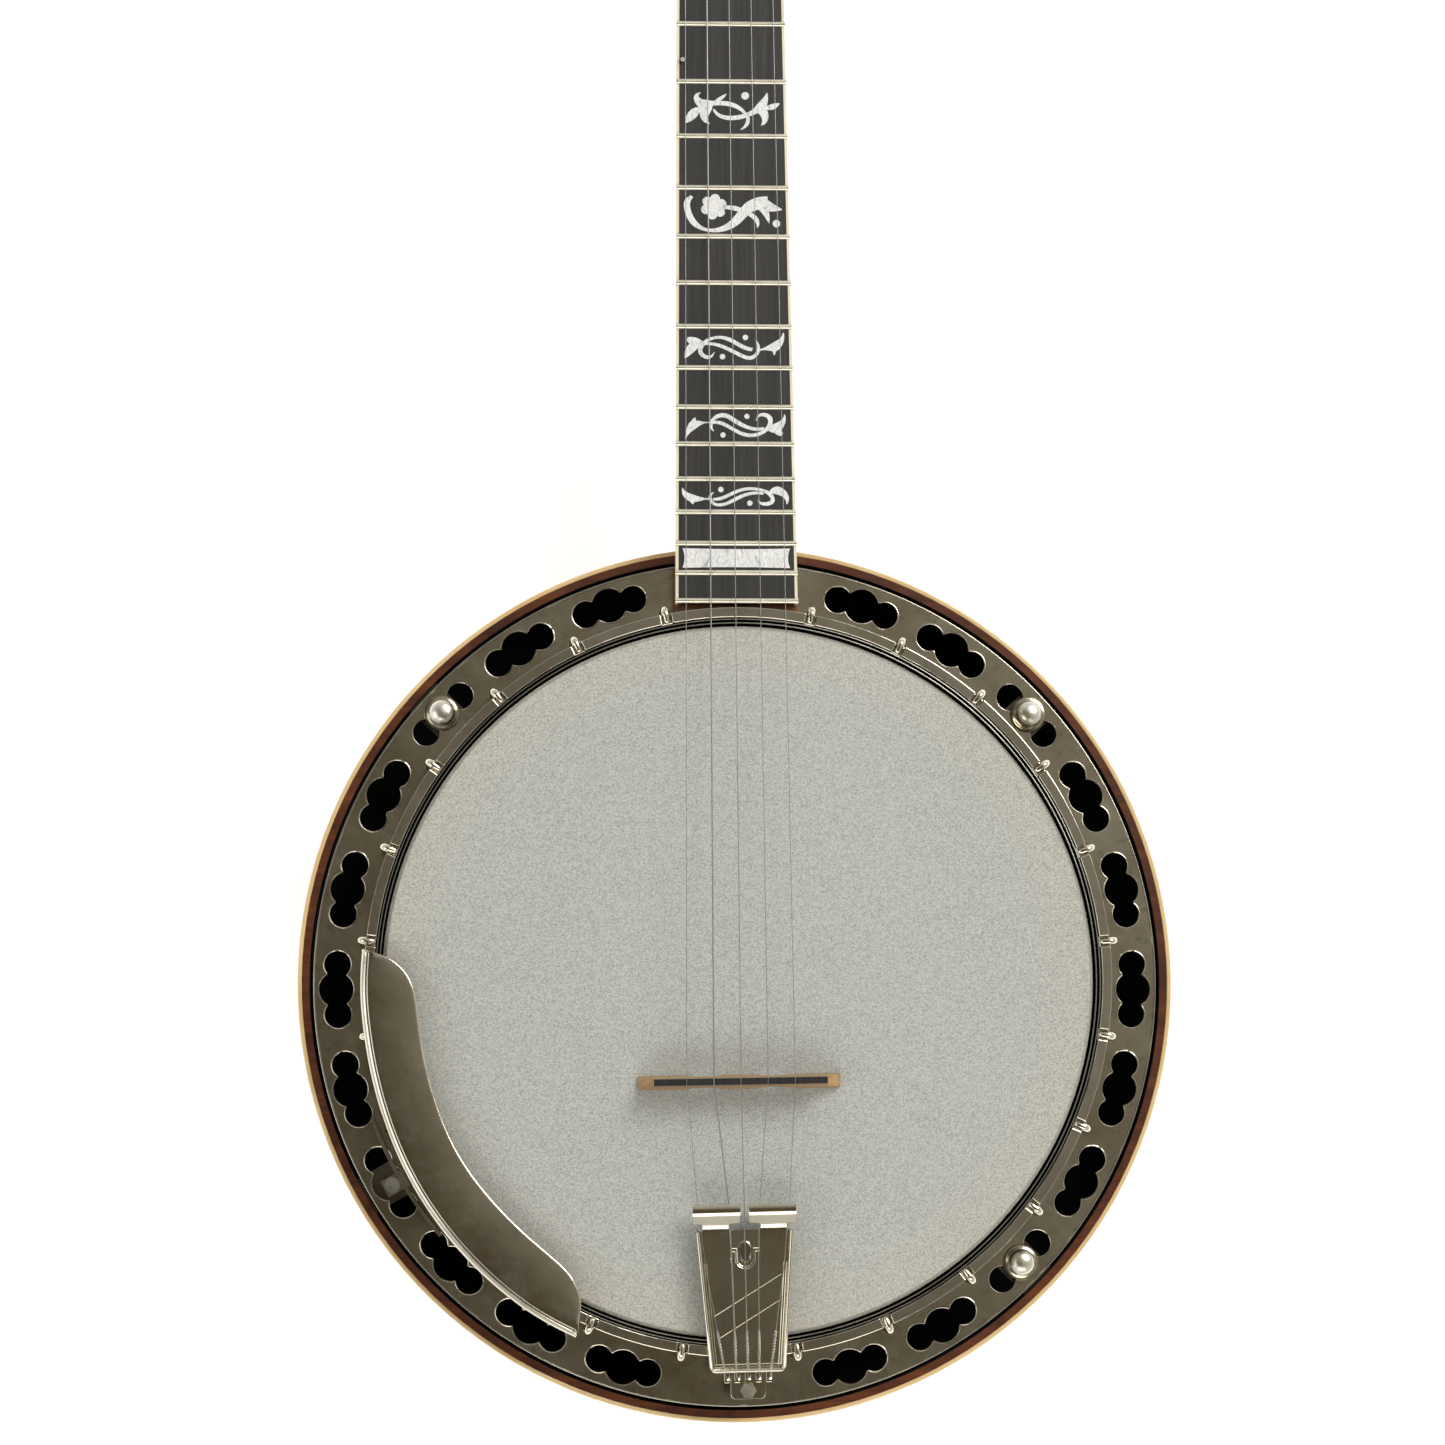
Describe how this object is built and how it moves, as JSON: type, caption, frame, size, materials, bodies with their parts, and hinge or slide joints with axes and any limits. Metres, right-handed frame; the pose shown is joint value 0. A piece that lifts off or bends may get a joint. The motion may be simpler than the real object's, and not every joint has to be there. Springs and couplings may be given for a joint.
{
  "type": "five-string resonator banjo",
  "caption": "Five-string banjo with a flanged pot, drum head, tension hoop on hooks, wooden resonator, fretted neck and geared tuning pegs.",
  "frame": {"origin": "centre of the flat on the resonator's back", "axes": "+Z out of the drum head, +Y up the neck, +X to the right seen from the front"},
  "size_m": [0.3462, 0.9857, 0.1217],
  "materials": {
    "rim_maple": "satin lacquered laminated maple",
    "nickel": "polished nickel plate",
    "aged_nickel": "aged nickel plate on cast zinc",
    "drum_skin": "frosted polyester film",
    "hoop_metal": "plain",
    "resonator_wood": "gloss dark red-brown figured maple",
    "resonator_back_wood": "gloss dark red-brown figured maple",
    "ivory_binding": "cream binding",
    "screw_steel": "plated",
    "rod_steel": "plain",
    "bridge_maple": "bare maple",
    "ebony": "oiled ebony",
    "neck_wood": "gloss dark red-brown maple",
    "fret_nickel": "polished nickel silver",
    "pearl": "mother of pearl",
    "bone": "polished bone",
    "string_steel": "plain steel wire",
    "wound_string": "nickel wound steel wire",
    "button_pearloid": "pearl-like plastic"
  },
  "bodies": {
    "root": {"rim": "rim_maple", "tone_ring": "nickel", "head": "drum_skin", "flesh_hoop": "hoop_metal", "tension_hoop": "nickel", "bracket_hooks": "nickel", "bracket_nuts": "nickel", "flange": "aged_nickel", "resonator_wall": "resonator_wood", "resonator_back": "resonator_back_wood", "resonator_binding": "ivory_binding", "resonator_lugs": "aged_nickel", "wood_screws": "screw_steel", "coordinator_rods": "rod_steel", "rod_fasteners": "rod_steel", "tailpiece_frame": "nickel", "tailpiece_cover": "nickel", "tailpiece_hanger": "nickel", "tailpiece_screws": "screw_steel", "armrest": "nickel", "armrest_clamps": "nickel", "armrest_screws": "screw_steel", "bridge": "bridge_maple", "bridge_cap": "ebony", "neck": "neck_wood", "fingerboard": "ebony", "neck_binding": "ivory_binding", "frets": "fret_nickel", "pearl_inlays": "pearl", "nut": "bone", "fifth_string_nut": "bone", "capo_spikes": "string_steel", "peghead_overlay": "ebony", "truss_rod": "rod_steel", "truss_rod_cover": "ebony", "tuner_housings": "nickel", "tuner_nuts": "nickel", "fifth_tuner_body": "nickel", "string_1": "string_steel", "string_2": "string_steel", "string_3": "string_steel", "string_5": "string_steel", "string_4": "wound_string"},
    "tuner_1_button": {"tuner_1_button": "button_pearloid"},
    "tuner_1_post": {"tuner_1_post": "nickel", "tuner_1_planets": "rod_steel"},
    "tuner_2_button": {"tuner_2_button": "button_pearloid"},
    "tuner_2_post": {"tuner_2_post": "nickel", "tuner_2_planets": "rod_steel"},
    "tuner_3_button": {"tuner_3_button": "button_pearloid"},
    "tuner_3_post": {"tuner_3_post": "nickel", "tuner_3_planets": "rod_steel"},
    "tuner_4_button": {"tuner_4_button": "button_pearloid"},
    "tuner_4_post": {"tuner_4_post": "nickel", "tuner_4_planets": "rod_steel"},
    "fifth_tuner_button": {"fifth_tuner_button": "button_pearloid"},
    "fifth_tuner_spool": {"fifth_tuner_spool": "nickel"},
    "thumbscrew_1": {"thumbscrew_1": "nickel"},
    "thumbscrew_2": {"thumbscrew_2": "nickel"},
    "thumbscrew_3": {"thumbscrew_3": "nickel"}
  },
  "joints": [
    {"name": "tuner_1_button_turn", "type": "hinge", "parent": "root", "child": "tuner_1_button", "pos_m": [-0.024, 0.6768, 0.04521], "axis": [0, 0.2924, 0.9563], "continuous": true},
    {"name": "tuner_1_post_turn", "type": "hinge", "parent": "root", "child": "tuner_1_post", "pos_m": [-0.024, 0.6768, 0.04521], "axis": [0, 0.2924, 0.9563], "continuous": true},
    {"name": "tuner_2_button_turn", "type": "hinge", "parent": "root", "child": "tuner_2_button", "pos_m": [0.024, 0.6768, 0.04521], "axis": [0, 0.2924, 0.9563], "continuous": true},
    {"name": "tuner_2_post_turn", "type": "hinge", "parent": "root", "child": "tuner_2_post", "pos_m": [0.024, 0.6768, 0.04521], "axis": [0, 0.2924, 0.9563], "continuous": true},
    {"name": "tuner_3_button_turn", "type": "hinge", "parent": "root", "child": "tuner_3_button", "pos_m": [-0.024, 0.74565, 0.02415], "axis": [0, 0.2924, 0.9563], "continuous": true},
    {"name": "tuner_3_post_turn", "type": "hinge", "parent": "root", "child": "tuner_3_post", "pos_m": [-0.024, 0.74565, 0.02415], "axis": [0, 0.2924, 0.9563], "continuous": true},
    {"name": "tuner_4_button_turn", "type": "hinge", "parent": "root", "child": "tuner_4_button", "pos_m": [0.024, 0.74565, 0.02415], "axis": [0, 0.2924, 0.9563], "continuous": true},
    {"name": "tuner_4_post_turn", "type": "hinge", "parent": "root", "child": "tuner_4_post", "pos_m": [0.024, 0.74565, 0.02415], "axis": [0, 0.2924, 0.9563], "continuous": true},
    {"name": "fifth_tuner_button_turn", "type": "hinge", "parent": "root", "child": "fifth_tuner_button", "pos_m": [-0.01966, 0.47985, 0.05976], "axis": [-1, 0, 0], "continuous": true},
    {"name": "fifth_tuner_spool_turn", "type": "hinge", "parent": "root", "child": "fifth_tuner_spool", "pos_m": [-0.01966, 0.47985, 0.05976], "axis": [-1, 0, 0], "continuous": true},
    {"name": "thumbscrew_1_turn", "type": "hinge", "parent": "root", "child": "thumbscrew_1", "pos_m": [-0.11649, 0.10645, 0.06], "axis": [0, 0, 1], "continuous": true},
    {"name": "thumbscrew_2_turn", "type": "hinge", "parent": "root", "child": "thumbscrew_2", "pos_m": [0.11649, 0.10645, 0.06], "axis": [0, 0, 1], "continuous": true},
    {"name": "thumbscrew_3_turn", "type": "hinge", "parent": "root", "child": "thumbscrew_3", "pos_m": [0.11251, -0.11064, 0.06], "axis": [0, 0, 1], "continuous": true}
  ],
  "couplings": [
    {"joint": "tuner_1_post_turn", "follows": "tuner_1_button_turn", "ratio": 0.25},
    {"joint": "tuner_2_post_turn", "follows": "tuner_2_button_turn", "ratio": 0.25},
    {"joint": "tuner_3_post_turn", "follows": "tuner_3_button_turn", "ratio": 0.25},
    {"joint": "tuner_4_post_turn", "follows": "tuner_4_button_turn", "ratio": 0.25},
    {"joint": "fifth_tuner_spool_turn", "follows": "fifth_tuner_button_turn", "ratio": 0.25}
  ]
}
